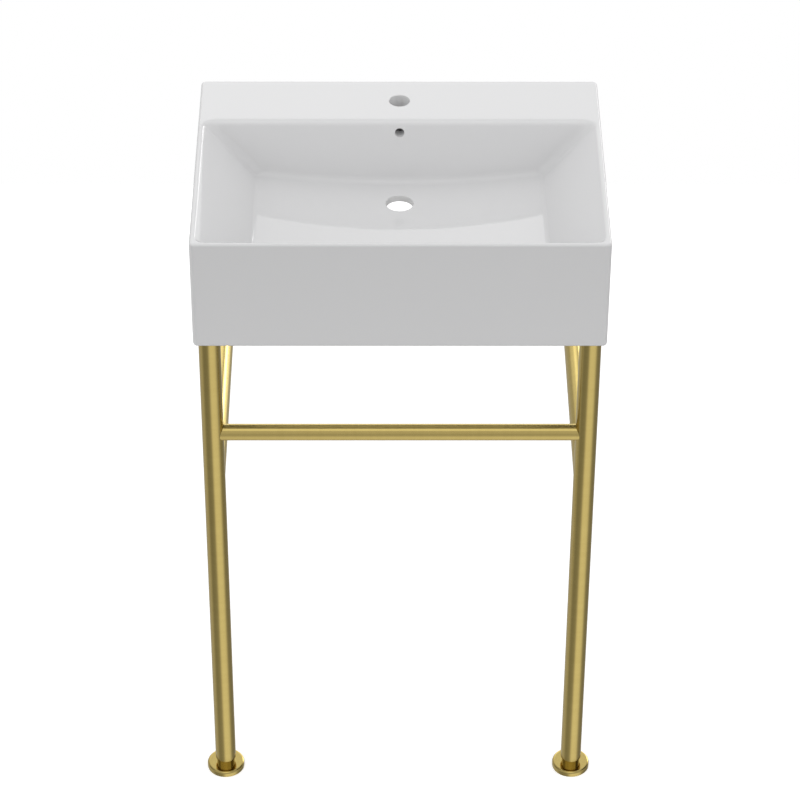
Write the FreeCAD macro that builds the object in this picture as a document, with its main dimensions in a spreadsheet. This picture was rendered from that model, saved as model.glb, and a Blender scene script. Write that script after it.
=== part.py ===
"""Console sink: a ceramic basin on two front legs, with a towel bar, side rails and levelling feet.

Millimetres. +X is to the right, +Y is back towards the wall, +Z is up. The floor is Z = 0, and the
origin is under the middle of the whole sink's depth and width. The basin's front face looks along -Y.
"""
import FreeCAD, Part
import Sketcher
import math
import os
import re

doc = FreeCAD.newDocument("console_sink")

# ---------------------------------------------------------------- driving dimensions

SIZES = {
    # the ceramic basin
    "basin_width": 530,
    "basin_depth": 382,
    "basin_height": 160,
    "rim_height": 918,
    "apron_wall": 12,
    "deck_wall": 18,
    "bowl_wall": 8.5,
    "corner_round": 6,
    "top_round": 3,
    "foot_round": 5,
    # the bowl: how far its rim stands in, and how its walls lean per unit of depth
    "rim_width": 6.5,
    "deck_depth": 99.5,
    "side_lean": 0.94,
    "front_lean": 0.286,
    "back_lean": 0.18,
    "loft_depth": 105,
    "rim_round": 4,
    "deck_round": 8,
    "bowl_corner_round": 12,
    "bowl_floor_round": 9,
    # the dished floor: its depth at the drain and its two radii
    "bowl_depth": 86,
    "dish_radius_across": 1450,
    "dish_radius_along": 4000,
    # the holes in the ceramic
    "drain_setback": 164,
    "drain_radius": 18,
    "drain_seat_radius": 33,
    "drain_seat_wall": 9.3,
    "drain_round": 1.2,
    "faucet_setback": 49,
    "faucet_radius": 13.8,
    "faucet_round": 0.8,
    "overflow_drop": 16,
    "overflow_radius": 6.3,
    "channel_width": 28,
    "channel_depth": 10,
    "channel_wall": 6,
    "channel_offset": 11,
    "channel_roof": 10,
    "channel_drop": 100,
    # what fixes the basin to the wall and the legs
    "bolt_spacing": 280,
    "bolt_drop": 75,
    "bolt_radius": 9,
    "bolt_boss_radius": 22,
    "bolt_boss_height": 8,
    "pad_size": 54,
    "pad_height": 35,
    "pad_round": 10,
    "socket_radius": 6.5,
    "socket_depth": 22,
    # tubes
    "leg_inset": 20,
    "leg_radius": 14.3,
    "leg_wall": 1.5,
    "leg_bottom": 18.5,
    "leg_top_gap": 0.5,
    "bar_radius": 11.1,
    "bar_wall": 1.5,
    "bar_height": 604,
    "rail_radius": 14.3,
    "rail_wall": 1.5,
    "rail_height": 532,
    "cope_gap": 0.2,
    "slip_gap": 0.2,
    "thread_gap": 0.05,
    # the leg's top plug, stud and washer
    "plug_height": 20,
    "washer_height": 1.5,
    "washer_gap": 0.6,
    "basin_stud_radius": 4,
    "basin_stud_reach": 18,
    # the levelling foot
    "foot_radius": 26,
    "foot_height": 8.7,
    "foot_round_over": 3,
    "neck_radius": 12.3,
    "neck_top": 41,
    "pad_proud": 0.6,
    "foot_pad_radius": 22,
    "foot_pad_height": 2.5,
    "foot_stud_radius": 5,
    "foot_stud_bottom": 15,
    "foot_stud_top": 95,
    "foot_nut_bottom": 56,
    "foot_nut_height": 18,
    # spigots, rivet nuts and grub screws
    "spigot_length": 22,
    "stud_radius": 3,
    "stud_length": 12,
    "nut_radius": 4.5,
    "nut_flange_radius": 5.5,
    "nut_flange": 0.8,
    "nut_bulb_radius": 6,
    "nut_bulb_start": 3.1,
    "nut_bulb_length": 2.9,
    "grub_radius": 2.5,
    "grub_length": 5,
    "grub_recess": 0.3,
    "grub_setback": 12,
    "hex_radius": 1.45,
    "hex_depth": 2.5,
    # wall flanges
    "flange_radius": 26,
    "flange_thickness": 6,
    "flange_bevel": 1.5,
    "flange_bore": 9,
    "flange_circle_radius": 20,
    "screw_radius": 2.2,
    "screw_head_radius": 4.2,
    "screw_head_depth": 2,
}

# places worked out from the sizes, written as expressions
OVERHANG = "(foot_radius - leg_inset)"
FRONT = f"(({OVERHANG} - basin_depth) / 2)"
WALL = f"(({OVERHANG} + basin_depth) / 2)"
APRON_BOTTOM = "(rim_height - basin_height)"
LEG_X = "(basin_width / 2 - leg_inset)"
LEG_Y = f"({FRONT} + leg_inset)"
LEG_TOP = f"({APRON_BOTTOM} - leg_top_gap)"
LEG_BORE = "(leg_radius - leg_wall)"
PLUG_TOP = f"({APRON_BOTTOM} - washer_height)"
RAIL_LENGTH = f"({WALL} - {LEG_Y} - flange_thickness)"
BAR_SPIGOT_RADIUS = "(bar_radius - bar_wall - slip_gap)"
RAIL_SPIGOT_RADIUS = "(rail_radius - rail_wall - slip_gap)"
# in the basin's own frame: Y = 0 is its front face, Z = 0 is its lower edge
FLOOR = "(basin_height - bowl_depth)"
DRAIN_Y = "(basin_depth - drain_setback)"
DECK_EDGE = "(basin_depth - deck_depth)"
CHANNEL_FRONT = f"({DECK_EDGE} + channel_offset)"

SIDES = {"left": -1, "right": 1}
DISH_SWEEP = 14
EPSILON = 1e-6

sheet = doc.addObject("Spreadsheet::Sheet", "sizes")
for row, (alias, size) in enumerate(SIZES.items(), start=1):
    sheet.set(f"A{row}", alias)
    sheet.set(f"B{row}", str(size))
    sheet.setAlias(f"B{row}", alias)
doc.recompute()


def linked(expression):
    """The expression with each size's name pointing at the sheet."""
    return re.sub(r"[a-z_]+", lambda word: f"sizes.{word[0]}" if word[0] in SIZES else word[0], expression)


def value(expression):
    """The expression's present value in millimetres."""
    return float(sheet.evalExpression(linked(expression)))


def bind(item, prop, expression):
    item.setExpression(prop, linked(expression))


# ---------------------------------------------------------------- sketches

def new_body(label, x="0", y="0", z="0", turn=0):
    """A body placed at x, y, z and turned about the vertical by a number of degrees."""
    body = doc.addObject("PartDesign::Body", label)
    body.Label = label
    body.Placement.Rotation = FreeCAD.Rotation(FreeCAD.Vector(0, 0, 1), turn)
    for axis, expression in zip("xyz", (x, y, z)):
        if expression != "0":
            bind(body, f"Placement.Base.{axis}", expression)
    return body


def origin_plane(body, role):
    return next(item for item in body.Origin.OriginFeatures if item.Role == role)


def new_sketch(body, name, role, lift="0"):
    """A sketch on one of the body's own planes, lifted along that plane's normal."""
    sketch = body.newObject("Sketcher::SketchObject", f"{body.Name}_{name}")
    sketch.AttachmentSupport = [(origin_plane(body, role), "")]
    sketch.MapMode = "FlatFace"
    if lift != "0":
        bind(sketch, "AttachmentOffset.Base.z", lift)
    return sketch


def pin_point(sketch, geometry, end, across, up):
    """Tie a point of the sketch to the origin by two sizes."""
    if across == "0":
        sketch.addConstraint(Sketcher.Constraint("PointOnObject", geometry, end, -2))
    else:
        index = sketch.addConstraint(
            Sketcher.Constraint("DistanceX", -1, 1, geometry, end, value(across)))
        bind(sketch, f"Constraints[{index}]", across)
    if up == "0":
        sketch.addConstraint(Sketcher.Constraint("PointOnObject", geometry, end, -1))
    else:
        index = sketch.addConstraint(
            Sketcher.Constraint("DistanceY", -1, 1, geometry, end, value(up)))
        bind(sketch, f"Constraints[{index}]", up)


def draw_polygon(sketch, corners):
    """A closed outline through corners given as pairs of expressions."""
    spots = [FreeCAD.Vector(value(across), value(up), 0) for across, up in corners]
    lines = []
    for start, end in zip(spots, spots[1:] + spots[:1]):
        lines.append(sketch.addGeometry(Part.LineSegment(start, end), False))
    for line, following in zip(lines, lines[1:] + lines[:1]):
        sketch.addConstraint(Sketcher.Constraint("Coincident", line, 2, following, 1))
    for line, (across, up) in zip(lines, corners):
        pin_point(sketch, line, 1, across, up)
    return lines


def draw_rectangle(sketch, left, right, low, high):
    return draw_polygon(sketch, [(left, low), (right, low), (right, high), (left, high)])


def draw_circle(sketch, radius, across="0", up="0"):
    centre = FreeCAD.Vector(value(across), value(up), 0)
    circle = sketch.addGeometry(Part.Circle(centre, FreeCAD.Vector(0, 0, 1), value(radius)), False)
    index = sketch.addConstraint(Sketcher.Constraint("Radius", circle, value(radius)))
    bind(sketch, f"Constraints[{index}]", radius)
    pin_point(sketch, circle, 3, across, up)


# ---------------------------------------------------------------- features

def pad(body, sketch, length, both_ways=False, backwards=False):
    feature = body.newObject("PartDesign::Pad", f"{sketch.Name}_pad")
    feature.Profile = sketch
    feature.Midplane = both_ways
    feature.Reversed = backwards
    bind(feature, "Length", length)
    doc.recompute()
    return feature


def pocket(body, sketch, length, both_ways=False, backwards=False):
    """Cut the sketch into the body, and make sure that it cut something."""
    before = body.Shape.Volume
    feature = body.newObject("PartDesign::Pocket", f"{sketch.Name}_pocket")
    feature.Profile = sketch
    feature.Midplane = both_ways
    feature.Reversed = backwards
    bind(feature, "Length", length)
    doc.recompute()
    if body.Shape.Volume > before - EPSILON:
        raise RuntimeError(f"{feature.Name} cuts nothing")
    return feature


def revolve(body, sketch, axis_role):
    """A full turn of the sketch about one of the body's own axes."""
    feature = body.newObject("PartDesign::Revolution", f"{sketch.Name}_turn")
    feature.Profile = sketch
    feature.ReferenceAxis = (origin_plane(body, axis_role), [""])
    feature.Angle = 360
    doc.recompute()
    return feature


def round_edges(body, wanted, radius, name):
    """Round the edges of the body's present shape that the test picks."""
    base = body.Tip
    names = [f"Edge{index}" for index, edge in enumerate(base.Shape.Edges, start=1) if wanted(edge)]
    if not names:
        raise RuntimeError(f"{body.Name} has no edge for {name}")
    feature = body.newObject("PartDesign::Fillet", f"{body.Name}_{name}")
    feature.Base = (base, names)
    bind(feature, "Radius", radius)
    doc.recompute()
    return feature


def direction(edge):
    run = edge.Vertexes[-1].Point - edge.Vertexes[0].Point
    return run.normalize() if run.Length > EPSILON else run


def is_upright(edge):
    return abs(direction(edge).z) > 1 - EPSILON


def is_slanted(edge):
    return EPSILON < abs(direction(edge).z) < 1 - EPSILON


def lies_at(edge, height):
    return abs(edge.BoundBox.ZMin - height) < EPSILON and abs(edge.BoundBox.ZMax - height) < EPSILON


def cut_of(name, base, tool):
    feature = doc.addObject("Part::Cut", name)
    feature.Base = base
    feature.Tool = tool
    doc.recompute()
    return feature


def union_of(name, parts):
    feature = doc.addObject("Part::MultiFuse", name)
    feature.Shapes = parts
    doc.recompute()
    return feature


def round_solid(name, base, wanted, size_at):
    """Round the edges of a solid that the test picks, by a radius asked for at each edge's two ends."""
    feature = doc.addObject("Part::Fillet", name)
    feature.Base = base
    picked = [(index, edge) for index, edge in enumerate(base.Shape.Edges, start=1) if wanted(edge)]
    if not picked:
        raise RuntimeError(f"{base.Name} has no edge for {name}")
    feature.Edges = [(index, size_at(edge.Vertexes[0].Point), size_at(edge.Vertexes[-1].Point))
                     for index, edge in picked]
    doc.recompute()
    if not feature.Shape.isValid() or abs(feature.Shape.Volume - base.Shape.Volume) < EPSILON:
        raise RuntimeError(f"{name} rounds nothing")
    return feature


# ---------------------------------------------------------------- the ceramic basin

def casting_block():
    """The outside of the casting: a block with rounded corners and edges."""
    body = new_body("casting_block")
    outline = new_sketch(body, "outline", "XY_Plane")
    draw_rectangle(outline, "-basin_width / 2", "basin_width / 2", "0", "basin_depth")
    pad(body, outline, "basin_height")
    round_edges(body, is_upright, "corner_round", "corners")
    top = value("basin_height")
    round_edges(body, lambda edge: lies_at(edge, top), "top_round", "top_edge")
    round_edges(body, lambda edge: lies_at(edge, 0), "foot_round", "lower_edge")
    return body


def bowl_outline(body, name, depth, grow):
    """The bowl's outline at a depth under the rim, grown outwards square to its walls."""
    sketch = new_sketch(body, name, "XY_Plane", f"basin_height - {depth}")
    side = f"basin_width / 2 - rim_width - side_lean * {depth} + {grow} * sqrt(1 + side_lean ^ 2)"
    front = f"rim_width + front_lean * {depth} - {grow} * sqrt(1 + front_lean ^ 2)"
    back = f"{DECK_EDGE} - back_lean * {depth} + {grow} * sqrt(1 + back_lean ^ 2)"
    draw_rectangle(sketch, f"-({side})", side, front, back)
    return sketch


def bowl_form(label, grow, corner_round, floor_round):
    """The bowl's form: leaning walls down to a floor that is dished towards the drain."""
    body = new_body(label)
    rim = bowl_outline(body, "rim", "0", grow)
    base = bowl_outline(body, "base", "loft_depth", grow)
    walls = body.newObject("PartDesign::AdditiveLoft", f"{label}_walls")
    walls.Profile = rim
    walls.Sections = [base]
    walls.Ruled = True
    doc.recompute()
    round_edges(body, is_slanted, corner_round, "corners")

    dish = new_sketch(body, "dish", "XZ_Plane", f"-{DRAIN_Y}")
    low = value(FLOOR) - value(grow)
    radius = value(f"dish_radius_across + {grow}")
    reach = value("basin_width / 2")
    rise = radius - math.sqrt(radius ** 2 - reach ** 2)
    left = FreeCAD.Vector(-reach, low + rise, 0)
    right = FreeCAD.Vector(reach, low + rise, 0)
    arc = dish.addGeometry(Part.Arc(left, FreeCAD.Vector(0, low, 0), right), False)
    under = value(f"{FLOOR} - bowl_depth / 2")
    down_left = FreeCAD.Vector(-reach, under, 0)
    down_right = FreeCAD.Vector(reach, under, 0)
    drop = dish.addGeometry(Part.LineSegment(right, down_right), False)
    across = dish.addGeometry(Part.LineSegment(down_right, down_left), False)
    climb = dish.addGeometry(Part.LineSegment(down_left, left), False)
    axis_height = f"{FLOOR} + dish_radius_along"
    axis_start = FreeCAD.Vector(-reach, value(axis_height), 0)
    axis_end = FreeCAD.Vector(reach, value(axis_height), 0)
    dish.addGeometry(Part.LineSegment(axis_start, axis_end), True)
    arc_radius = dish.addConstraint(Sketcher.Constraint("Radius", arc, radius))
    bind(dish, f"Constraints[{arc_radius}]", f"dish_radius_across + {grow}")
    pin_point(dish, arc, 3, "0", f"{FLOOR} + dish_radius_across")
    ends = sorted((1, 2), key=lambda end: dish.getPoint(arc, end).x)
    dish.addConstraint(Sketcher.Constraint("Coincident", arc, ends[1], drop, 1))
    dish.addConstraint(Sketcher.Constraint("Coincident", drop, 2, across, 1))
    dish.addConstraint(Sketcher.Constraint("Coincident", across, 2, climb, 1))
    dish.addConstraint(Sketcher.Constraint("Coincident", climb, 2, arc, ends[0]))
    pin_point(dish, drop, 2, "basin_width / 2", f"{FLOOR} - bowl_depth / 2")
    pin_point(dish, across, 2, "-basin_width / 2", f"{FLOOR} - bowl_depth / 2")
    dish.addConstraint(Sketcher.Constraint("Vertical", drop))
    dish.addConstraint(Sketcher.Constraint("Vertical", climb))
    axis_line = climb + 1
    pin_point(dish, axis_line, 1, "-basin_width / 2", axis_height)
    pin_point(dish, axis_line, 2, "basin_width / 2", axis_height)
    before = body.Shape.Volume
    sweep = body.newObject("PartDesign::Groove", f"{label}_floor_cut")
    sweep.Profile = dish
    sweep.ReferenceAxis = (dish, ["Axis0"])
    sweep.Midplane = True
    sweep.Angle = DISH_SWEEP
    doc.recompute()
    if body.Shape.Volume > before - EPSILON:
        raise RuntimeError(f"{label}: the dish cuts nothing")

    lowest = min(body.Tip.Shape.Faces, key=lambda face: face.CenterOfMass.z)
    round_edges(body, lambda edge: any(edge.isSame(side) for side in lowest.Edges), floor_round, "floor")
    return body


def block(label, left, right, front, back, bottom, top, corner_round=None):
    """An upright block between six places."""
    body = new_body(label)
    outline = new_sketch(body, "outline", "XY_Plane", bottom)
    draw_rectangle(outline, left, right, front, back)
    pad(body, outline, f"{top} - ({bottom})")
    if corner_round:
        round_edges(body, is_upright, corner_round, "corners")
    return body


def upright_rod(label, radius, x, y, bottom, top):
    body = new_body(label)
    outline = new_sketch(body, "outline", "XY_Plane", bottom)
    draw_circle(outline, radius, x, y)
    pad(body, outline, f"{top} - ({bottom})")
    return body


def level_rod(label, radius, x, z, front, back):
    """A rod along Y between two places."""
    body = new_body(label)
    outline = new_sketch(body, "outline", "XZ_Plane", f"-({front})")
    draw_circle(outline, radius, x, z)
    pad(body, outline, f"{back} - ({front})", backwards=True)
    return body


def hollow_underside():
    """The open space under the deck and bowl, less what stays solid in it."""
    side = "basin_width / 2 - apron_wall"
    space = block("under_deck", f"-({side})", side, "apron_wall", "basin_depth - apron_wall",
                  "0", "basin_height - deck_wall", "corner_round")
    skin = bowl_form("bowl_skin", "bowl_wall", "bowl_corner_round + bowl_wall",
                     "bowl_floor_round + bowl_wall")
    solids = [skin]
    solids.append(upright_rod("drain_seat", "drain_seat_radius", "0", DRAIN_Y,
                              f"{FLOOR} - drain_seat_wall", FLOOR))
    rib = "channel_width / 2 + channel_wall"
    solids.append(block("overflow_rib", f"-({rib})", rib, f"{DECK_EDGE} - channel_wall",
                        f"{CHANNEL_FRONT} + channel_depth + channel_wall",
                        "basin_height - channel_drop", "basin_height"))
    for name, sign in SIDES.items():
        edges = sorted((f"{sign} * basin_width / 2", f"{sign} * (basin_width / 2 - pad_size)"), key=value)
        solids.append(block(f"leg_seat_{name}", *edges, "0", "pad_size", "0", "pad_height", "pad_round"))
        solids.append(level_rod(f"bolt_boss_{name}", "bolt_boss_radius", f"{sign} * bolt_spacing / 2",
                                "basin_height - bolt_drop",
                                "basin_depth - apron_wall - bolt_boss_height", "basin_depth"))
    return cut_of("underside", space, union_of("underside_solids", solids))


def basin_holes():
    """What is drilled or cast through the finished shell."""
    holes = [block("overflow_channel", "-channel_width / 2", "channel_width / 2", CHANNEL_FRONT,
                   f"{CHANNEL_FRONT} + channel_depth", "basin_height - channel_drop",
                   "basin_height - channel_roof")]
    holes.append(level_rod("overflow_hole", "overflow_radius", "0", "basin_height - overflow_drop",
                           f"{DECK_EDGE} - channel_offset", f"{CHANNEL_FRONT} + channel_depth / 2"))
    for name, sign in SIDES.items():
        holes.append(level_rod(f"bolt_hole_{name}", "bolt_radius", f"{sign} * bolt_spacing / 2",
                               "basin_height - bolt_drop",
                               "basin_depth - apron_wall - bolt_boss_height - deck_wall",
                               "basin_depth + deck_wall"))
        holes.append(upright_rod(f"stud_socket_{name}", "socket_radius", f"{sign} * {LEG_X}", "leg_inset",
                                 "-apron_wall", "socket_depth"))
    return union_of("cast_holes", holes)


def make_basin():
    """One casting: bowl, deck and apron, hollow below."""
    space = bowl_form("bowl_space", "0", "bowl_corner_round", "bowl_floor_round")
    open_bowl = cut_of("open_bowl", casting_block(), space)
    top = value("basin_height")
    inset = value("rim_width") / 2

    def on_bowl_rim(edge):
        box = edge.BoundBox
        inside = box.XMin > -value("basin_width") / 2 + inset and box.YMin > inset
        return lies_at(edge, top) and inside and box.YMax < value(DECK_EDGE) + inset

    def rim_size(end):
        """The deck's edge is rounded more than the rest of the rim."""
        return value("deck_round" if end.y > value(DECK_EDGE) - EPSILON else "rim_round")

    soft_rim = round_solid("soft_rim", open_bowl, on_bowl_rim, rim_size)
    drills = union_of("upright_holes", [
        upright_rod("drain_hole", "drain_radius", "0", DRAIN_Y, f"{FLOOR} - bowl_depth / 2",
                    f"{FLOOR} + drain_seat_wall"),
        upright_rod("faucet_hole", "faucet_radius", "0", "basin_depth - faucet_setback",
                    "basin_height / 2", "basin_height + deck_wall"),
    ])
    drilled = cut_of("drilled", soft_rim, drills)

    def on_faucet_mouth(edge):
        return lies_at(edge, top) and abs(edge.BoundBox.XLength - 2 * value("faucet_radius")) < EPSILON

    faucet_mouth = round_solid("faucet_mouth", drilled, on_faucet_mouth, lambda end: value("faucet_round"))
    floor = value(FLOOR)

    def on_drain_mouth(edge):
        box = edge.BoundBox
        near = abs(box.ZMin - floor) < value("drain_round")
        return near and abs(box.XLength - 2 * value("drain_radius")) < value("drain_round")

    drain_mouth = round_solid("drain_mouth", faucet_mouth, on_drain_mouth, lambda end: value("drain_round"))
    shell = cut_of("shell", drain_mouth, hollow_underside())
    basin = cut_of("basin", shell, basin_holes())
    bind(basin, "Placement.Base.y", FRONT)
    bind(basin, "Placement.Base.z", APRON_BOTTOM)
    return basin


# ---------------------------------------------------------------- legs

def make_leg_tube(name, sign):
    """A leg, with a hole for the bar's rivet nut and one for the rail's."""
    body = new_body(f"leg_tube_{name}", f"{sign} * {LEG_X}", LEG_Y, "leg_bottom")
    wall = new_sketch(body, "wall", "XY_Plane")
    draw_circle(wall, "leg_radius")
    draw_circle(wall, LEG_BORE)
    pad(body, wall, f"{LEG_TOP} - leg_bottom")
    bar_hole = new_sketch(body, "bar_hole", "YZ_Plane")
    draw_circle(bar_hole, "nut_radius + thread_gap", "0", "bar_height - leg_bottom")
    pocket(body, bar_hole, "leg_radius + leg_wall", backwards=sign < 0)
    rail_hole = new_sketch(body, "rail_hole", "XZ_Plane")
    draw_circle(rail_hole, "nut_radius + thread_gap", "0", "rail_height - leg_bottom")
    pocket(body, rail_hole, "leg_radius + leg_wall")
    return body


def turned_ring(label, outer, inner, bottom, top, x, y):
    """An upright ring or sleeve, turned to size."""
    body = new_body(label, x, y)
    section = new_sketch(body, "section", "XZ_Plane")
    draw_rectangle(section, inner, outer, bottom, top)
    revolve(body, section, "Z_Axis")
    return body


def turned_rod(label, radius, bottom, top, x, y):
    return turned_ring(label, radius, "0", bottom, top, x, y)


def make_leg_fittings(name, sign):
    """What joins a leg to the basin above it."""
    place = (f"{sign} * {LEG_X}", LEG_Y)
    plug_radius = f"{LEG_BORE} - thread_gap"
    plug = turned_ring(f"leg_top_plug_{name}", plug_radius, "basin_stud_radius + thread_gap / 2",
                       f"{PLUG_TOP} - plug_height", PLUG_TOP, *place)
    stud = turned_rod(f"basin_stud_{name}", "basin_stud_radius", f"{PLUG_TOP} - plug_height",
                      f"{APRON_BOTTOM} + basin_stud_reach", *place)
    washer = turned_ring(f"leg_washer_{name}", f"{LEG_BORE} - washer_gap",
                         "basin_stud_radius + washer_gap", PLUG_TOP, APRON_BOTTOM, *place)
    return [plug, stud, washer]


def make_foot(name, sign):
    """The turned foot: a flange with a rounded rim, and a neck that slides in the leg."""
    body = new_body(f"levelling_foot_{name}", f"{sign} * {LEG_X}", LEG_Y)
    section = new_sketch(body, "section", "XZ_Plane")
    recess = "foot_pad_radius + slip_gap"
    recess_top = "foot_pad_height + thread_gap"
    bore = "foot_stud_radius + thread_gap / 2"
    draw_polygon(section, [
        ("0", recess_top),
        (recess, recess_top),
        (recess, "pad_proud"),
        ("foot_radius", "pad_proud"),
        ("foot_radius", "foot_height"),
        ("neck_radius", "foot_height"),
        ("neck_radius", "neck_top"),
        (bore, "neck_top"),
        (bore, "foot_stud_bottom"),
        ("0", "foot_stud_bottom"),
    ])
    revolve(body, section, "Z_Axis")
    top = value("foot_height")
    width = value("2 * foot_radius")

    def on_flange_rim(edge):
        return lies_at(edge, top) and abs(edge.BoundBox.XLength - width) < EPSILON

    round_edges(body, on_flange_rim, "foot_round_over", "rim")
    return body


def make_foot_fittings(name, sign):
    place = (f"{sign} * {LEG_X}", LEG_Y)
    nut = turned_ring(f"foot_nut_{name}", f"{LEG_BORE} - thread_gap", "foot_stud_radius + thread_gap",
                      "foot_nut_bottom", "foot_nut_bottom + foot_nut_height", *place)
    stud = turned_rod(f"foot_stud_{name}", "foot_stud_radius", "foot_stud_bottom", "foot_stud_top", *place)
    rubber = turned_rod(f"foot_pad_{name}", "foot_pad_radius", "0", "foot_pad_height", *place)
    return [nut, stud, rubber]


# ---------------------------------------------------------------- towel bar and side rails

def make_towel_bar():
    """A tube between the legs, its ends cut to the legs' round, with two screw holes below."""
    body = new_body("towel_bar", "0", LEG_Y, "bar_height")
    wall = new_sketch(body, "wall", "YZ_Plane")
    draw_circle(wall, "bar_radius")
    draw_circle(wall, "bar_radius - bar_wall")
    pad(body, wall, f"2 * {LEG_X}", both_ways=True)
    cope = new_sketch(body, "cope", "XY_Plane")
    screws = new_sketch(body, "screws", "XY_Plane")
    for sign in SIDES.values():
        draw_circle(cope, "leg_radius + cope_gap", f"{sign} * {LEG_X}")
        draw_circle(screws, "grub_radius + thread_gap",
                    f"{sign} * ({LEG_X} - leg_radius - grub_setback)")
    pocket(body, cope, "2 * bar_radius + bar_wall", both_ways=True)
    pocket(body, screws, "bar_radius + bar_wall")
    return body


def make_side_rail(name, sign):
    """A tube from the leg back to its wall flange, cut to the leg's round."""
    body = new_body(f"side_rail_{name}", f"{sign} * {LEG_X}", LEG_Y, "rail_height")
    wall = new_sketch(body, "wall", "XZ_Plane")
    draw_circle(wall, "rail_radius")
    draw_circle(wall, "rail_radius - rail_wall")
    pad(body, wall, RAIL_LENGTH, backwards=True)
    cope = new_sketch(body, "cope", "XY_Plane")
    draw_circle(cope, "leg_radius + cope_gap")
    pocket(body, cope, "2 * rail_radius + rail_wall", both_ways=True)
    screws = new_sketch(body, "screws", "XY_Plane")
    draw_circle(screws, "grub_radius + thread_gap", "0", "leg_radius + grub_setback")
    draw_circle(screws, "grub_radius + thread_gap", "0", f"{RAIL_LENGTH} - grub_setback")
    pocket(body, screws, "rail_radius + rail_wall")
    return body


def make_spigot(label, radius, x, y, z, turn):
    """A turned spigot along X: its stud screws into the leg, its body fills the tube's end."""
    body = new_body(label, x, y, z, turn)
    section = new_sketch(body, "section", "XZ_Plane")
    shoulder = "nut_flange + slip_gap"
    draw_polygon(section, [
        ("-stud_length", "0"),
        ("-stud_length", "stud_radius"),
        (shoulder, "stud_radius"),
        (shoulder, radius),
        (f"{shoulder} + spigot_length", radius),
        (f"{shoulder} + spigot_length", "0"),
    ])
    revolve(body, section, "X_Axis")
    screw = new_sketch(body, "screw", "XY_Plane", f"-({radius})")
    draw_circle(screw, "grub_radius + thread_gap", "grub_setback")
    pocket(body, screw, "grub_length + slip_gap", backwards=True)
    return body


def make_rivet_nut(label, x, y, z, turn):
    """A rivet nut in the leg's wall: flange outside, bulb inside, thread through it."""
    body = new_body(label, x, y, z, turn)
    section = new_sketch(body, "section", "XZ_Plane")
    thread = "stud_radius + thread_gap"
    bulb_end = "nut_bulb_start + nut_bulb_length"
    draw_polygon(section, [
        ("-stud_length", thread),
        ("nut_flange", thread),
        ("nut_flange", "nut_flange_radius"),
        ("0", "nut_flange_radius"),
        ("0", "nut_radius"),
        ("-nut_bulb_start", "nut_radius"),
        ("-nut_bulb_start", "nut_bulb_radius"),
        (f"-({bulb_end})", "nut_bulb_radius"),
        (f"-({bulb_end})", "nut_radius"),
        ("-stud_length", "nut_radius"),
    ])
    revolve(body, section, "X_Axis")
    return body


def make_grub_screw(label, x, y, tube_bottom):
    """A headless screw in the underside of a tube, its hexagon socket facing down."""
    body = new_body(label, x, y, f"{tube_bottom} + grub_recess")
    outline = new_sketch(body, "outline", "XY_Plane")
    draw_circle(outline, "grub_radius")
    pad(body, outline, "grub_length")
    socket = new_sketch(body, "socket", "XY_Plane")
    half_flat = "hex_radius * sqrt(3) / 2"
    draw_polygon(socket, [
        ("hex_radius", "0"),
        ("hex_radius / 2", half_flat),
        ("-hex_radius / 2", half_flat),
        ("-hex_radius", "0"),
        ("-hex_radius / 2", f"-{half_flat}"),
        ("hex_radius / 2", f"-{half_flat}"),
    ])
    pocket(body, socket, "hex_depth", backwards=True)
    return body


def make_wall_flange(name, sign):
    """A turned flange on the wall, with a spigot in the rail's end and three countersunk holes."""
    body = new_body(f"wall_flange_{name}", f"{sign} * {LEG_X}", WALL, "rail_height")
    section = new_sketch(body, "section", "XY_Plane")
    face = "-flange_thickness"
    nose = "-flange_thickness - spigot_length"
    draw_polygon(section, [
        ("flange_bore", "0"),
        ("flange_radius", "0"),
        ("flange_radius", f"{face} + flange_bevel"),
        ("flange_radius - flange_bevel", face),
        (RAIL_SPIGOT_RADIUS, face),
        (RAIL_SPIGOT_RADIUS, nose),
        ("flange_bore", nose),
    ])
    revolve(body, section, "Y_Axis")
    front = new_sketch(body, "screw_hole", "XZ_Plane", "flange_thickness")
    draw_circle(front, "screw_radius", "0", "flange_circle_radius")
    through = pocket(body, front, "flange_thickness + flange_bevel")
    head = new_sketch(body, "screw_head", "XZ_Plane", "flange_thickness")
    draw_circle(head, "screw_head_radius", "0", "flange_circle_radius")
    sink = pocket(body, head, "screw_head_depth")
    sink.TaperAngle = -math.degrees(math.atan(
        value("(screw_head_radius - screw_radius) / screw_head_depth")))
    doc.recompute()
    ring = body.newObject("PartDesign::PolarPattern", f"{body.Name}_ring")
    ring.Originals = [through, sink]
    ring.Axis = (origin_plane(body, "Y_Axis"), [""])
    ring.Angle = 360
    ring.Occurrences = 3
    body.Tip = ring
    doc.recompute()
    screw = new_sketch(body, "screw_seat", "XY_Plane")
    draw_circle(screw, "grub_radius + thread_gap", "0", "-flange_thickness - grub_setback")
    pocket(body, screw, RAIL_SPIGOT_RADIUS)
    return body


def group_of(label, bodies):
    group = doc.addObject("Part::Compound", label)
    group.Label = label
    group.Links = bodies
    doc.recompute()
    return group


# ---------------------------------------------------------------- the whole sink

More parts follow.
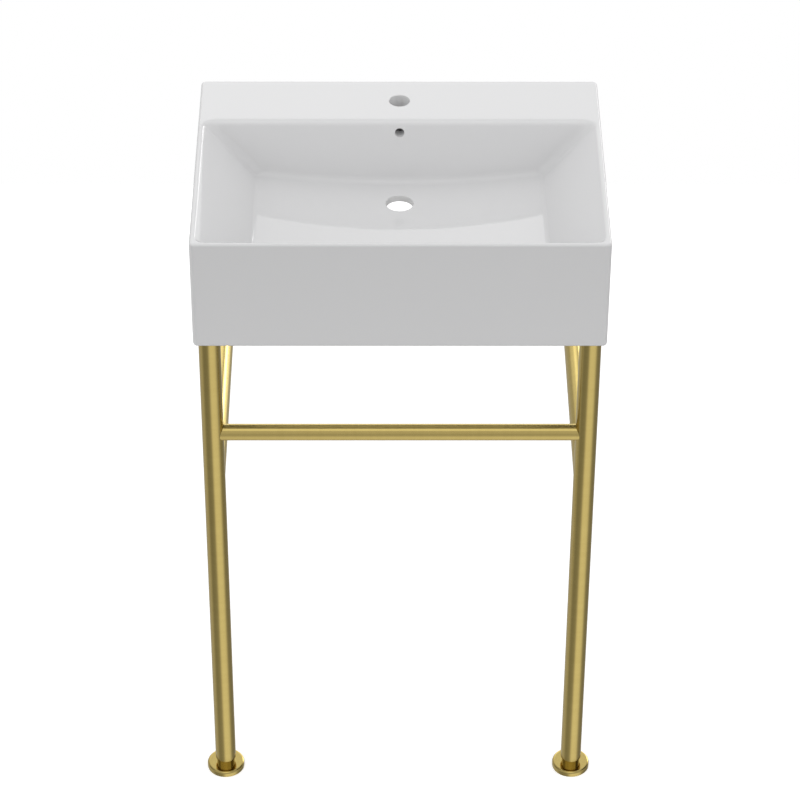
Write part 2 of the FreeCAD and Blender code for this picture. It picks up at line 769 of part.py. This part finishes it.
sub_parts = [make_basin(), make_towel_bar()]
rivet_nuts = []
bar_screws = []
rail_screws = []
for name, sign in SIDES.items():
    leg_x = f"{sign} * {LEG_X}"
    bar_end = f"{sign} * ({LEG_X} - leg_radius)"
    rail_start = f"{LEG_Y} + leg_radius"
    inward = 0 if sign < 0 else 180
    sub_parts.append(make_leg_tube(name, sign))
    sub_parts += make_leg_fittings(name, sign)
    sub_parts.append(make_foot(name, sign))
    sub_parts += make_foot_fittings(name, sign)
    sub_parts.append(make_spigot(f"bar_spigot_{name}", BAR_SPIGOT_RADIUS, bar_end, LEG_Y,
                                 "bar_height", inward))
    sub_parts.append(make_side_rail(name, sign))
    sub_parts.append(make_spigot(f"rail_spigot_{name}", RAIL_SPIGOT_RADIUS, leg_x, rail_start,
                                 "rail_height", 90))
    sub_parts.append(make_wall_flange(name, sign))
    rivet_nuts.append(make_rivet_nut(f"bar_rivet_nut_{name}", bar_end, LEG_Y, "bar_height", inward))
    rivet_nuts.append(make_rivet_nut(f"rail_rivet_nut_{name}", leg_x, rail_start, "rail_height", 90))
    bar_screws.append(make_grub_screw(f"bar_screw_{name}",
                                      f"{sign} * ({LEG_X} - leg_radius - grub_setback)",
                                      LEG_Y, "bar_height - bar_radius"))
    for end, along in (("front", f"{rail_start} + grub_setback"),
                       ("back", f"{WALL} - flange_thickness - grub_setback")):
        rail_screws.append(make_grub_screw(f"rail_screw_{end}_{name}", leg_x, along,
                                           "rail_height - rail_radius"))
sub_parts.append(group_of("rivet_nuts", rivet_nuts))
sub_parts.append(group_of("bar_grub_screws", bar_screws))
sub_parts.append(group_of("rail_grub_screws", rail_screws))
doc.recompute()

for item in doc.Objects:
    if "Invalid" in item.State or "Error" in item.State:
        raise RuntimeError(f"{item.Name} failed: {item.State}")
for part in sub_parts:
    if part.Shape.isNull() or not part.Shape.isValid():
        raise RuntimeError(f"{part.Label} has no valid shape")

os.makedirs("parts", exist_ok=True)
for part in sub_parts:
    part.Shape.exportStep(f"parts/{part.Label}.step")
    print(part.Label, len(part.Shape.Solids), "solids", round(part.Shape.Volume / 1000, 2), "cm3")
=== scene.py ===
# %% [markdown]
# A console sink: a white glazed basin on two gold coloured legs, with a towel bar in front and a
# rail on each side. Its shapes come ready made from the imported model, so this lesson is about
# camera, finishes and light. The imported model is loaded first, and nothing in it is moved.

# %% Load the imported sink
import math

import bpy
from mathutils import Matrix, Vector


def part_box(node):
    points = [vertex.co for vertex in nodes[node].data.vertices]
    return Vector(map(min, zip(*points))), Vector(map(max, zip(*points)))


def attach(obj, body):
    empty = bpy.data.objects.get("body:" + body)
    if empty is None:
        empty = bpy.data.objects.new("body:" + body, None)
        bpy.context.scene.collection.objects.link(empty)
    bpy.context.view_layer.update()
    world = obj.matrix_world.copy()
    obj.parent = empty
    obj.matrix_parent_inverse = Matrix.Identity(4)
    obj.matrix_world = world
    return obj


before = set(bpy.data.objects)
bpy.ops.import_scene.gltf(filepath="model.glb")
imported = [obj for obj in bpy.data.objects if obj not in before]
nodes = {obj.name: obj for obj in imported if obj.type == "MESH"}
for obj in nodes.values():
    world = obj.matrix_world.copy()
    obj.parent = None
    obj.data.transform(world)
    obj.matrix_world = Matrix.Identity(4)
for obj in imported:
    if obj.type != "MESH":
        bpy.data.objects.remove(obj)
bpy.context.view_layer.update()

# %% [markdown]
# The photograph looks down at the sink from well in front, with a long lens. The numbers below come
# from fitting a pinhole camera to the basin's corners, the legs, the bar and the feet. A camera made
# from a position and three angles is easier to read than a matrix, so that is what is kept.

# %% Camera
CAMERA_PLACE = Vector((-0.02217, -3.57627, 3.30472))
CAMERA_TILT_DOWN = math.radians(37.838)
CAMERA_YAW = math.radians(-0.378)
CAMERA_ROLL = math.radians(0.238)
PICTURE_WIDTH = 800
FOCAL_PIXELS = 3312.5
SENSOR_WIDTH = 36.0

camera_data = bpy.data.cameras.new("camera")
camera = bpy.data.objects.new("camera", camera_data)
bpy.context.scene.collection.objects.link(camera)
camera_data.sensor_fit = "HORIZONTAL"
camera_data.sensor_width = SENSOR_WIDTH
camera_data.lens = SENSOR_WIDTH * FOCAL_PIXELS / PICTURE_WIDTH
upright = Matrix.Rotation(math.pi / 2 - CAMERA_TILT_DOWN, 4, "X")
roll = Matrix.Rotation(CAMERA_ROLL, 4, "Z")
yaw = Matrix.Rotation(CAMERA_YAW, 4, "Z")
camera.matrix_world = Matrix.Translation(CAMERA_PLACE) @ yaw @ upright @ roll
bpy.context.scene.camera = camera
print("lens:", round(camera_data.lens, 2), "mm")

# %% [markdown]
# Every finish below is a small graph of shader nodes, and a few helpers keep the graphs short. They
# add a node and fill its sockets, do sums and blends, start and place a node group with named sockets,
# and start a material. A socket value that is a node output is linked, and anything else is set as a
# number or colour.

# %% Helpers for shader graphs


def fill(tree, socket, given):
    """Link a socket to a node's output, or set it to a plain value."""
    if isinstance(given, bpy.types.NodeSocket):
        tree.links.new(given, socket)
    else:
        socket.default_value = given


def add_node(tree, kind, inputs=None, **settings):
    """Add a node, set its properties, then fill its inputs by name or number."""
    node = tree.nodes.new(kind)
    for name, setting in settings.items():
        setattr(node, name, setting)
    for name, given in (inputs or {}).items():
        fill(tree, node.inputs[name], given)
    return node


def calculate(tree, operation, *terms):
    """A Math node's result."""
    return add_node(tree, "ShaderNodeMath", dict(enumerate(terms)), operation=operation).outputs[0]


def vector_math(tree, operation, *terms, result="Vector"):
    """A Vector Math node's result."""
    node = add_node(tree, "ShaderNodeVectorMath", dict(enumerate(terms)), operation=operation)
    return node.outputs[result]


def remap(tree, source, low, high, to_low=0.0, to_high=1.0, smooth=False):
    """Turn a range of values into another range, kept inside it."""
    node = add_node(tree, "ShaderNodeMapRange",
                    {"Value": source, "From Min": low, "From Max": high,
                     "To Min": to_low, "To Max": to_high},
                    interpolation_type="SMOOTHSTEP" if smooth else "LINEAR")
    return node.outputs["Result"]


def blend_colours(tree, share, first, second):
    """First where share is 0, second where it is 1."""
    # A Mix node has sockets for every kind of data: 6 and 7 are its colours, and output 2 is theirs.
    node = add_node(tree, "ShaderNodeMix", {"Factor": share, 6: first, 7: second}, data_type="RGBA")
    return node.outputs[2]


def new_group(name, inputs, outputs):
    """A shader node group with named sockets. Returns the group, its input node and its output node."""
    group = bpy.data.node_groups.new(name, "ShaderNodeTree")
    for label, kind, usual in inputs:
        socket = group.interface.new_socket(name=label, in_out="INPUT", socket_type=kind)
        socket.default_value = usual
    for label, kind in outputs:
        group.interface.new_socket(name=label, in_out="OUTPUT", socket_type=kind)
    return group, group.nodes.new("NodeGroupInput"), group.nodes.new("NodeGroupOutput")


def use_group(tree, group, **inputs):
    """Place a group in a graph. An underscore in a name stands for a space."""
    node = tree.nodes.new("ShaderNodeGroup")
    node.node_tree = group
    for name, given in inputs.items():
        fill(tree, node.inputs[name.replace("_", " ")], given)
    return node


def new_material(name):
    """A material with its graph cleared down to a Principled shader and the output."""
    material = bpy.data.materials.new(name)
    material.use_nodes = True
    tree = material.node_tree
    tree.nodes.clear()
    shader = tree.nodes.new("ShaderNodeBsdfPrincipled")
    surface = tree.nodes.new("ShaderNodeOutputMaterial")
    fill(tree, surface.inputs["Surface"], shader.outputs[0])
    return material, tree, shader


print("helpers ready")

# %% [markdown]
# No real surface is even. A slow cloudy change in tone and gloss is what most of these finishes
# share, so it is made once as a group: two noises of different size, mixed. Each material gives it
# its own size. It follows object coordinates, so it stays on the piece when the piece moves.

# %% Group: cloudy change
FINER_BY = 7.0
FINE_SHARE = 0.3
COARSE_SHARE = 0.7
USUAL_NOISE = (0.3, 0.7)

mottle, mottle_in, mottle_out = new_group(
    "mottle",
    [("Vector", "NodeSocketVector", (0, 0, 0)), ("Size", "NodeSocketFloat", 0.05)],
    [("Value", "NodeSocketFloat")])
mottle_scale = calculate(mottle, "DIVIDE", 1.0, mottle_in.outputs["Size"])
mottle_large = add_node(mottle, "ShaderNodeTexNoise",
                        {"Vector": mottle_in.outputs["Vector"], "Scale": mottle_scale,
                         "Detail": 2.0, "Roughness": 0.5})
mottle_small = add_node(mottle, "ShaderNodeTexNoise",
                        {"Vector": mottle_in.outputs["Vector"],
                         "Scale": calculate(mottle, "MULTIPLY", mottle_scale, FINER_BY),
                         "Detail": 3.0, "Roughness": 0.6})
mottle_sum = calculate(mottle, "MULTIPLY_ADD", mottle_small.outputs["Fac"], FINE_SHARE,
                       calculate(mottle, "MULTIPLY", mottle_large.outputs["Fac"], COARSE_SHARE))
fill(mottle, mottle_out.inputs["Value"], remap(mottle, mottle_sum, *USUAL_NOISE))
print("group:", mottle.name)

# %% [markdown]
# The gold coloured pieces are steel tubes and turned discs, brushed while they spin, so the scratches
# run round each piece's own axis. On a tube that gives rings, on a disc it gives circles. Both come
# from the same rule: read a noise by the distance along the axis and the distance from it, and
# hardly at all by the angle. Zinc plated rods get the same group, with coarser turning marks.

# %% Group: turned grain
ROUND_SCALE = 1.5
BAND_SCALE = 0.06
ROUGH_NOISE = (0.25, 0.75)

grain, grain_in, grain_out = new_group(
    "turned_grain",
    [("Vector", "NodeSocketVector", (0, 0, 0)), ("Centre", "NodeSocketVector", (0, 0, 0)),
     ("Axis", "NodeSocketVector", (0, 0, 1)), ("Pitch", "NodeSocketFloat", 0.0004)],
    [("Lines", "NodeSocketFloat"), ("Bands", "NodeSocketFloat")])
grain_offset = vector_math(grain, "SUBTRACT", grain_in.outputs["Vector"], grain_in.outputs["Centre"])
grain_along = vector_math(grain, "DOT_PRODUCT", grain_offset, grain_in.outputs["Axis"], result="Value")
grain_on_axis = add_node(grain, "ShaderNodeVectorMath",
                         {0: grain_in.outputs["Axis"], "Scale": grain_along}, operation="SCALE")
grain_radial = vector_math(grain, "SUBTRACT", grain_offset, grain_on_axis.outputs[0])
grain_radius = vector_math(grain, "LENGTH", grain_radial, result="Value")
grain_round = vector_math(grain, "NORMALIZE", grain_radial)
grain_count = calculate(grain, "DIVIDE", 1.0, grain_in.outputs["Pitch"])
grain_place = add_node(grain, "ShaderNodeCombineXYZ",
                       {"X": calculate(grain, "MULTIPLY", grain_along, grain_count),
                        "Y": calculate(grain, "MULTIPLY", grain_radius, grain_count), "Z": 0.0})
grain_turn = add_node(grain, "ShaderNodeVectorMath",
                      {0: grain_round, "Scale": ROUND_SCALE}, operation="SCALE")
grain_point = vector_math(grain, "ADD", grain_place.outputs[0], grain_turn.outputs[0])
grain_fine = add_node(grain, "ShaderNodeTexNoise",
                      {"Vector": grain_point, "Scale": 1.0, "Detail": 2.0, "Roughness": 0.7})
grain_wide = add_node(grain, "ShaderNodeTexNoise",
                      {"Vector": grain_point, "Scale": BAND_SCALE, "Detail": 2.0, "Roughness": 0.5})
fill(grain, grain_out.inputs["Lines"], remap(grain, grain_fine.outputs["Fac"], *ROUGH_NOISE))
fill(grain, grain_out.inputs["Bands"], remap(grain, grain_wide.outputs["Fac"], *USUAL_NOISE))
print("group:", grain.name)

# %% [markdown]
# Worn or polished edges tell the eye how large a thing is. The Bevel node gives a normal that is
# softened near an edge, and where it differs from the true normal there is an edge. The group turns
# that into a mask, which a material can use to thin a glaze or brighten a metal corner.

# %% Group: edges
FLAT_MATCH = 0.995
EDGE_MATCH = 0.90

edges, edges_in, edges_out = new_group(
    "edges", [("Radius", "NodeSocketFloat", 0.002)], [("Mask", "NodeSocketFloat")])
edges_soft = add_node(edges, "ShaderNodeBevel", {"Radius": edges_in.outputs["Radius"]}, samples=4)
edges_true = add_node(edges, "ShaderNodeNewGeometry")
edges_match = vector_math(edges, "DOT_PRODUCT", edges_soft.outputs[0], edges_true.outputs["Normal"],
                          result="Value")
fill(edges, edges_out.inputs["Mask"], remap(edges, edges_match, FLAT_MATCH, EDGE_MATCH))
print("group:", edges.name)

# %% [markdown]
# The basin is vitreous china: a white clay body under a clear hard glaze. The glaze reflects like
# glass, so the roughness is low, and it is never quite flat, so a very faint ripple goes into the
# normal. The glaze is wiped off where the basin stands in the kiln and where it meets the wall, so
# the lower edge and the back show the bare body, which is warmer and matte.

# %% Material: glazed china
GLAZE_WHITE = (0.745, 0.745, 0.75, 1)
GLAZE_THIN = (0.71, 0.705, 0.70, 1)
BARE_CLAY = (0.66, 0.63, 0.57, 1)
GLAZE_ROUGHNESS = 0.03
GLAZE_CLOUD = 0.01
GLAZE_IOR = 1.5
CLAY_ROUGHNESS = 0.75
CLAY_SPECK_SHADE = 0.86
CLOUD_SIZE = 0.09
SPECK_SIZE = 0.004
EDGE_WIDTH = 0.0025
EDGE_SHARE = 0.35
WIPE_WAVER = 0.0010
FOOT_BARE_BELOW = 0.0001
FOOT_GLAZED_ABOVE = 0.0006
BACK_GLAZED_BEFORE = 0.0003
BACK_BARE_BEHIND = 0.0002
RIPPLE_STRENGTH = 0.15
RIPPLE_HEIGHT = 0.0003
basin_low, basin_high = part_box("basin")

china, china_tree, china_shader = new_material("glazed_china")
china_place = add_node(china_tree, "ShaderNodeTexCoord").outputs["Object"]
china_axes = add_node(china_tree, "ShaderNodeSeparateXYZ", {0: china_place})
china_cloud = use_group(china_tree, mottle, Vector=china_place, Size=CLOUD_SIZE).outputs["Value"]
china_speck = use_group(china_tree, mottle, Vector=china_place, Size=SPECK_SIZE).outputs["Value"]
wipe_wobble = calculate(china_tree, "MULTIPLY", china_cloud, WIPE_WAVER)
wiped_foot = remap(china_tree, calculate(china_tree, "SUBTRACT", china_axes.outputs["Z"], wipe_wobble),
                   basin_low.z + FOOT_GLAZED_ABOVE, basin_low.z + FOOT_BARE_BELOW)
wiped_back = remap(china_tree, calculate(china_tree, "ADD", china_axes.outputs["Y"], wipe_wobble),
                   basin_high.y - BACK_GLAZED_BEFORE, basin_high.y + BACK_BARE_BEHIND)
bare = calculate(china_tree, "MAXIMUM", wiped_foot, wiped_back)
china_edge = use_group(china_tree, edges, Radius=EDGE_WIDTH).outputs["Mask"]
china_body = blend_colours(china_tree, calculate(china_tree, "MULTIPLY", china_edge, EDGE_SHARE),
                           GLAZE_WHITE, GLAZE_THIN)
clay_dark = tuple(channel * CLAY_SPECK_SHADE for channel in BARE_CLAY[:3]) + (1,)
clay_tone = blend_colours(china_tree, china_speck, BARE_CLAY, clay_dark)
china_gloss = calculate(china_tree, "MULTIPLY_ADD", china_cloud, GLAZE_CLOUD, GLAZE_ROUGHNESS)
china_ripple = add_node(china_tree, "ShaderNodeBump",
                        {"Height": china_cloud, "Strength": RIPPLE_STRENGTH, "Distance": RIPPLE_HEIGHT})
fill(china_tree, china_shader.inputs["Base Color"], blend_colours(china_tree, bare, china_body, clay_tone))
fill(china_tree, china_shader.inputs["Roughness"],
     remap(china_tree, bare, 0.0, 1.0, china_gloss, CLAY_ROUGHNESS))
fill(china_tree, china_shader.inputs["IOR"], GLAZE_IOR)
fill(china_tree, china_shader.inputs["Normal"], china_ripple.outputs[0])
print("material:", china.name)

# %% [markdown]
# The legs, bar, rails, feet and flanges are steel with a thin gold coloured coating over the brushed
# surface. Metal has no colour of its own apart from its reflection, so the base colour is the tint of
# that reflection. The grain changes the roughness a little from line to line and goes into a very low
# bump. The turned feet and flanges are a little smoother than the tubes. Each piece needs its own
# axis, so one function makes a material for each.

# %% Material: brushed gold
GOLD = (0.64, 0.50, 0.175, 1)
GOLD_DEEP = (0.58, 0.445, 0.148, 1)
GOLD_ROUGHNESS = (0.18, 0.23)
TURNED_ROUGHNESS = (0.11, 0.15)
GOLD_GRAIN_PITCH = 0.0005
GOLD_CLOUD_SIZE = 0.12
BAND_SHARE = 0.35
CLOUD_SHARE = 0.25
SCRATCH_STRENGTH = 0.06
SCRATCH_HEIGHT = 0.00003


def brushed_gold(name, centre, axis, roughness):
    """Brushed gold, with its grain running round an axis through the centre."""
    material, tree, shader = new_material(name)
    place = add_node(tree, "ShaderNodeTexCoord").outputs["Object"]
    marks = use_group(tree, grain, Vector=place, Centre=centre, Axis=axis, Pitch=GOLD_GRAIN_PITCH)
    lines = marks.outputs["Lines"]
    cloud = use_group(tree, mottle, Vector=place, Size=GOLD_CLOUD_SIZE).outputs["Value"]
    tone = calculate(tree, "MULTIPLY_ADD", marks.outputs["Bands"], BAND_SHARE,
                     calculate(tree, "MULTIPLY", cloud, CLOUD_SHARE))
    scratches = add_node(tree, "ShaderNodeBump",
                         {"Height": lines, "Strength": SCRATCH_STRENGTH, "Distance": SCRATCH_HEIGHT})
    fill(tree, shader.inputs["Base Color"], blend_colours(tree, tone, GOLD, GOLD_DEEP))
    fill(tree, shader.inputs["Metallic"], 1.0)
    fill(tree, shader.inputs["Roughness"], remap(tree, lines, 0.0, 1.0, *roughness))
    fill(tree, shader.inputs["Normal"], scratches.outputs[0])
    return material


def middle_of(node):
    """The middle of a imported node's box."""
    low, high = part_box(node)
    return (low + high) / 2


ACROSS, BACKWARD, UPWARD = (1, 0, 0), (0, 1, 0), (0, 0, 1)
SIDES = ("left", "right")
GOLD_PIECES = {
    "leg_tube": (UPWARD, GOLD_ROUGHNESS),
    "levelling_foot": (UPWARD, TURNED_ROUGHNESS),
    "side_rail": (BACKWARD, GOLD_ROUGHNESS),
    "wall_flange": (BACKWARD, TURNED_ROUGHNESS),
}
finish_of = {"towel_bar": brushed_gold("brushed_gold_bar", middle_of("towel_bar"), ACROSS, GOLD_ROUGHNESS)}
for side in SIDES:
    for piece, (axis, roughness) in GOLD_PIECES.items():
        node = f"{piece}_{side}"
        finish_of[node] = brushed_gold(f"brushed_gold_{node}", middle_of(node), axis, roughness)
print("gold pieces:", len(finish_of))

# %% [markdown]
# The small fittings are mostly out of sight, but each still has the finish it is bought with: bright
# zinc plate on rods, spigots, inserts and rivet nuts, and black oxide on the grub screws.

# %% Material: zinc plate and black oxide
MARK_STRENGTH = 0.3
MARK_HEIGHT = 0.0001


def turned_metal(name, light, dark, roughness, centre, axis, pitch):
    """A turned metal with visible tool marks."""
    material, tree, shader = new_material(name)
    place = add_node(tree, "ShaderNodeTexCoord").outputs["Object"]
    marks = use_group(tree, grain, Vector=place, Centre=centre, Axis=axis, Pitch=pitch)
    lines = marks.outputs["Lines"]
    bump = add_node(tree, "ShaderNodeBump",
                    {"Height": lines, "Strength": MARK_STRENGTH, "Distance": MARK_HEIGHT})
    fill(tree, shader.inputs["Base Color"], blend_colours(tree, marks.outputs["Bands"], light, dark))
    fill(tree, shader.inputs["Metallic"], 1.0)
    fill(tree, shader.inputs["Roughness"], remap(tree, lines, 0.0, 1.0, *roughness))
    fill(tree, shader.inputs["Normal"], bump.outputs[0])
    return material


ZINC = (0.62, 0.63, 0.64, 1)
ZINC_DULL = (0.48, 0.49, 0.50, 1)
ROD_ROUGHNESS = (0.22, 0.38)
NUT_ROUGHNESS = (0.25, 0.40)
OXIDE = (0.030, 0.030, 0.032, 1)
OXIDE_WORN = (0.075, 0.072, 0.068, 1)
OXIDE_ROUGHNESS = (0.35, 0.50)
ROD_PITCH, NUT_PITCH, SCREW_PITCH = 0.0010, 0.0012, 0.0008
ZINC_PIECES = {"basin_stud": UPWARD, "foot_nut": UPWARD, "foot_stud": UPWARD,
               "bar_spigot": ACROSS, "rail_spigot": BACKWARD}
for side in SIDES:
    for piece, axis in ZINC_PIECES.items():
        node = f"{piece}_{side}"
        finish_of[node] = turned_metal(f"zinc_{node}", ZINC, ZINC_DULL, ROD_ROUGHNESS,
                                       middle_of(node), axis, ROD_PITCH)
finish_of["rivet_nuts"] = turned_metal("zinc_rivet_nuts", ZINC, ZINC_DULL, NUT_ROUGHNESS,
                                       middle_of("rivet_nuts"), ACROSS, NUT_PITCH)
for node in ("bar_grub_screws", "rail_grub_screws"):
    finish_of[node] = turned_metal(f"oxide_{node}", OXIDE, OXIDE_WORN, OXIDE_ROUGHNESS,
                                   middle_of(node), UPWARD, SCREW_PITCH)
print("finishes so far:", len(finish_of))

# %% [markdown]
# The washers and the pads under the feet are grey rubber, and the plug in each leg's top is black
# nylon. Both are moulded, so they have no grain, only a fine skin with a slow change of tone.

# %% Material: rubber and nylon
SKIN_FINER_BY = 12
SKIN_STRENGTH = 0.4


def moulded(name, light, dark, roughness, size, height):
    """A moulded matte material with a fine skin and a cloudy tone."""
    material, tree, shader = new_material(name)
    place = add_node(tree, "ShaderNodeTexCoord").outputs["Object"]
    cloud = use_group(tree, mottle, Vector=place, Size=size).outputs["Value"]
    skin = use_group(tree, mottle, Vector=place, Size=size / SKIN_FINER_BY).outputs["Value"]
    bump = add_node(tree, "ShaderNodeBump",
                    {"Height": skin, "Strength": SKIN_STRENGTH, "Distance": height})
    fill(tree, shader.inputs["Base Color"], blend_colours(tree, cloud, light, dark))
    fill(tree, shader.inputs["Roughness"], remap(tree, skin, 0.0, 1.0, *roughness))
    fill(tree, shader.inputs["Normal"], bump.outputs[0])
    return material


rubber = moulded("grey_rubber", light=(0.125, 0.125, 0.125, 1), dark=(0.085, 0.085, 0.087, 1),
                 roughness=(0.62, 0.80), size=0.012, height=0.0002)
nylon = moulded("black_nylon", light=(0.032, 0.032, 0.034, 1), dark=(0.022, 0.022, 0.023, 1),
                roughness=(0.42, 0.55), size=0.010, height=0.0001)
for side in SIDES:
    finish_of[f"leg_washer_{side}"] = rubber
    finish_of[f"foot_pad_{side}"] = rubber
    finish_of[f"leg_top_plug_{side}"] = nylon
finish_of["basin"] = china
print("finishes:", len(finish_of), "of", len(nodes))

# %% [markdown]
# A imported node keeps its mesh and place, and only takes a new material in its slot.

# %% Give every node its finish
for name, node in nodes.items():
    node.data.materials.clear()
    node.data.materials.append(finish_of[name])
print("painted:", len(nodes))

# %% [markdown]
# The photograph is a studio picture on pure white. The floor is a pale sheet that takes the sink's
# shadow. Seen by the camera it is lifted a little, so that it meets the white around it. It is kept
# out of the metal, which mirrors the studio below instead, as over a glass table. From below the
# sheet is clear, so that the sink's underside can be looked at. A levelling foot always stands on the
# floor, so the sheet has a left and a right half, and each goes up or down with the foot on it.

# %% Floor
FLOOR_REACH = 1.3
FLOOR_COLOUR = (0.80, 0.80, 0.80, 1)
FLOOR_ROUGHNESS = 0.9
FLOOR_LIFT = 0.50

floor_material, floor_tree, floor_shader = new_material("studio_paper")
floor_path = add_node(floor_tree, "ShaderNodeLightPath")
floor_seen = calculate(floor_tree, "MAXIMUM", floor_path.outputs["Is Camera Ray"],
                       calculate(floor_tree, "MAXIMUM", floor_path.outputs["Is Glossy Ray"],
                                 floor_path.outputs["Is Transmission Ray"]))
for socket, given in {
        "Base Color": FLOOR_COLOUR, "Roughness": FLOOR_ROUGHNESS, "Specular IOR Level": 0.0,
        "Emission Color": (1, 1, 1, 1),
        "Emission Strength": calculate(floor_tree, "MULTIPLY", floor_seen, FLOOR_LIFT)}.items():
    fill(floor_tree, floor_shader.inputs[socket], given)
floor_side = add_node(floor_tree, "ShaderNodeNewGeometry").outputs["Backfacing"]
floor_clear = floor_tree.nodes.new("ShaderNodeBsdfTransparent")
floor_both = add_node(floor_tree, "ShaderNodeMixShader",
                      {0: floor_side, 1: floor_shader.outputs[0], 2: floor_clear.outputs[0]})
floor_surface = next(node for node in floor_tree.nodes if node.type == "OUTPUT_MATERIAL")
fill(floor_tree, floor_surface.inputs["Surface"], floor_both.outputs[0])

for side, start, end in (("left", -FLOOR_REACH, 0.0), ("right", 0.0, FLOOR_REACH)):
    floor_mesh = bpy.data.meshes.new(f"studio_floor_{side}")
    floor_mesh.from_pydata(
        [(start, -FLOOR_REACH, 0), (end, -FLOOR_REACH, 0), (end, FLOOR_REACH, 0), (start, FLOOR_REACH, 0)],
        [], [(0, 1, 2, 3)])
    floor_mesh.materials.append(floor_material)
    floor = bpy.data.objects.new(f"studio_floor_{side}", floor_mesh)
    bpy.context.scene.collection.objects.link(floor)
    floor.visible_glossy = False
    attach(floor, f"foot_base_{side}")
print("floor:", 2 * FLOOR_REACH, "m square")

# %% [markdown]
# Metal and glaze show what stands round them, so the studio is drawn in the world shader by its
# directions from the sink: azimuth 0 is in front, 90 to the right and 180 behind. The camera sees a
# plain white backdrop. The metal and the glaze see a soft grey screen there, with brighter and darker
# panels on it. The light that falls on the sink comes from a second, smoother set.

# %% Studio surround
SCREEN_LEVEL = 0.50
BACKDROP_PANELS = [
    # azimuth, elevation, full to this angle, gone by this angle, strength
    (0, 69, 7, 22, 0.65),
    (178, 6, 10, 30, 0.55),
    (180, 29, 7, 15, 0.95),
    (180, 52, 8, 24, 0.30),
    (147, 12, 8, 28, 1.1),
    (146, 22, 5, 12, 3.6),
    (-163, 24, 8, 22, 0.45),
    (28, -38, 10, 38, 0.38),
    (0, -75, 10, 45, 0.18),
    (0, 35, 10, 30, 0.12),
    (-46, -34, 10, 38, -0.24),
    (112, -32, 8, 40, -0.24),
    (96, 32, 14, 30, -0.45),
    (-96, 32, 10, 28, -0.30),
]
LIGHT_LEVEL = 0.03
LIGHT_PANELS = [
    (0, 35, 15, 70, 0.73),
    (-90, 30, 15, 70, 0.84),
    (90, 30, 15, 70, 0.84),
    (-90, 10, 8, 30, 0.65),
    (90, 10, 8, 30, 0.30),
    (180, 10, 8, 30, 1.9),
]


def towards(azimuth, elevation):
    """The direction of a place in the studio, as seen from the sink."""
    a, e = math.radians(azimuth), math.radians(elevation)
    return (math.sin(a) * math.cos(e), -math.cos(a) * math.cos(e), math.sin(e))


world = bpy.data.worlds.new("studio")
bpy.context.scene.world = world
world.use_nodes = True
sky = world.node_tree
sky.nodes.clear()
sky_direction = add_node(sky, "ShaderNodeTexCoord").outputs["Generated"]


def paint_panels(level, panels):
    """Add soft round panels to a level, each by its direction."""
    for azimuth, elevation, full, gone, strength in panels:
        near = vector_math(sky, "DOT_PRODUCT", sky_direction, towards(azimuth, elevation), result="Value")
        panel = remap(sky, near, math.cos(math.radians(gone)), math.cos(math.radians(full)), 0.0, 1.0, True)
        level = calculate(sky, "MULTIPLY_ADD", panel, strength, level)
    return calculate(sky, "MAXIMUM", level, 0.0)


sky_path = add_node(sky, "ShaderNodeLightPath")
seen_in_metal = paint_panels(SCREEN_LEVEL, BACKDROP_PANELS)
to_camera = sky_path.outputs["Is Camera Ray"]
not_to_camera = calculate(sky, "SUBTRACT", 1.0, to_camera)
backdrop_level = calculate(sky, "ADD", to_camera, calculate(sky, "MULTIPLY", not_to_camera, seen_in_metal))
backdrop_seen = calculate(sky, "MAXIMUM", to_camera,
                          calculate(sky, "MAXIMUM", sky_path.outputs["Is Glossy Ray"],
                                    sky_path.outputs["Is Transmission Ray"]))
light = add_node(sky, "ShaderNodeBackground",
                 {"Color": (1, 1, 1, 1), "Strength": paint_panels(LIGHT_LEVEL, LIGHT_PANELS)})
backdrop = add_node(sky, "ShaderNodeBackground", {"Color": (1, 1, 1, 1), "Strength": backdrop_level})
chosen = add_node(sky, "ShaderNodeMixShader",
                  {0: backdrop_seen, 1: light.outputs[0], 2: backdrop.outputs[0]})
sky_output = sky.nodes.new("ShaderNodeOutputWorld")
fill(sky, sky_output.inputs["Surface"], chosen.outputs[0])
print("panels:", len(BACKDROP_PANELS) + len(LIGHT_PANELS))

# %% [markdown]
# One soft lamp above and behind gives the front of the bowl's floor its paler tone. The metal doesn't
# mirror it, because the panels above are what it mirrors.

# %% Lamp
LAMP_AIM = Vector((0, 0, 0.6))
LAMPS = [
    # name, azimuth, elevation, distance, width, height, watts
    ("softbox_over", 170, 58, 2.8, 2.4, 1.6, 8.5),
]
for name, azimuth, elevation, distance, width, height, watts in LAMPS:
    lamp_data = bpy.data.lights.new(name, "AREA")
    lamp_data.shape = "RECTANGLE"
    lamp_data.size, lamp_data.size_y = width, height
    lamp_data.energy = watts
    lamp = bpy.data.objects.new(name, lamp_data)
    bpy.context.scene.collection.objects.link(lamp)
    lamp.location = LAMP_AIM + Vector(towards(azimuth, elevation)) * distance
    lamp.rotation_euler = (lamp.location - LAMP_AIM).to_track_quat("Z", "Y").to_euler()
    lamp.visible_glossy = False
print("lamps:", len(LAMPS))

# %% [markdown]
# Colours go to the picture by the plain Standard view.

# %% Look setting and the end
bpy.context.scene.view_settings.view_transform = "Standard"
